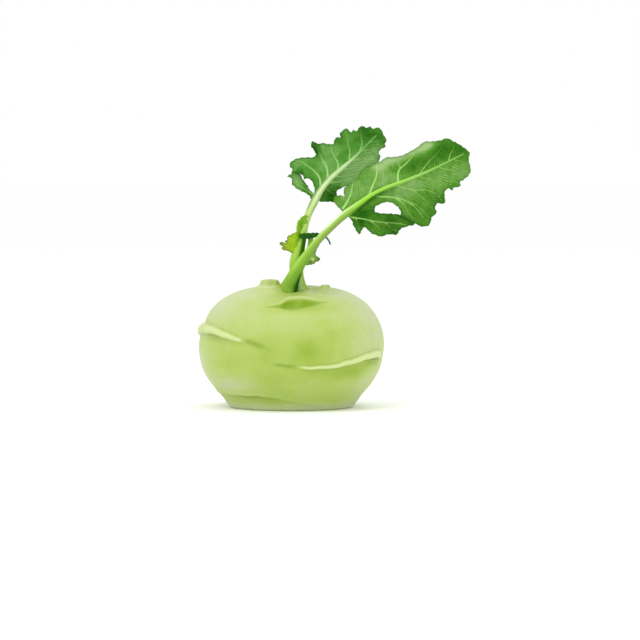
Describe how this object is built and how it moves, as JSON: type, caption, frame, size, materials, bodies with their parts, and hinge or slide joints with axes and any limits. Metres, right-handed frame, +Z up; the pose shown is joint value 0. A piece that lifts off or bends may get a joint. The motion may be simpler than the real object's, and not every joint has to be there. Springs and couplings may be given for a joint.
{
  "type": "kohlrabi",
  "caption": "Pale green kohlrabi: a rounded swollen stem with raised leaf-scar rims and a flat foot, with young lobed leaves on slender stalks rising from its crown.",
  "frame": {"origin": "centre of the flat spot under the swollen stem, on the surface it rests on", "axes": "+Z up, out of the crown; -Y towards the front, the side the front leaf stalk stands on; +X to the right, the side both leaves lean to"},
  "size_m": [0.1362, 0.0925, 0.1399],
  "materials": {
    "bulb_skin": "smooth waxy skin, satin, with paler rims",
    "front_stalk": "smooth, satin",
    "front_blade": "waxy leaf, satin, with paler veins",
    "back_stalk": "smooth, satin",
    "back_blade": "waxy leaf, satin, with paler veins"
  },
  "bodies": {
    "root": {"bulb": "bulb_skin", "right_leaf_stalk": "front_stalk", "right_leaf_blade": "front_blade", "left_leaf_stalk": "back_stalk", "left_leaf_blade": "back_blade"}
  },
  "joints": []
}
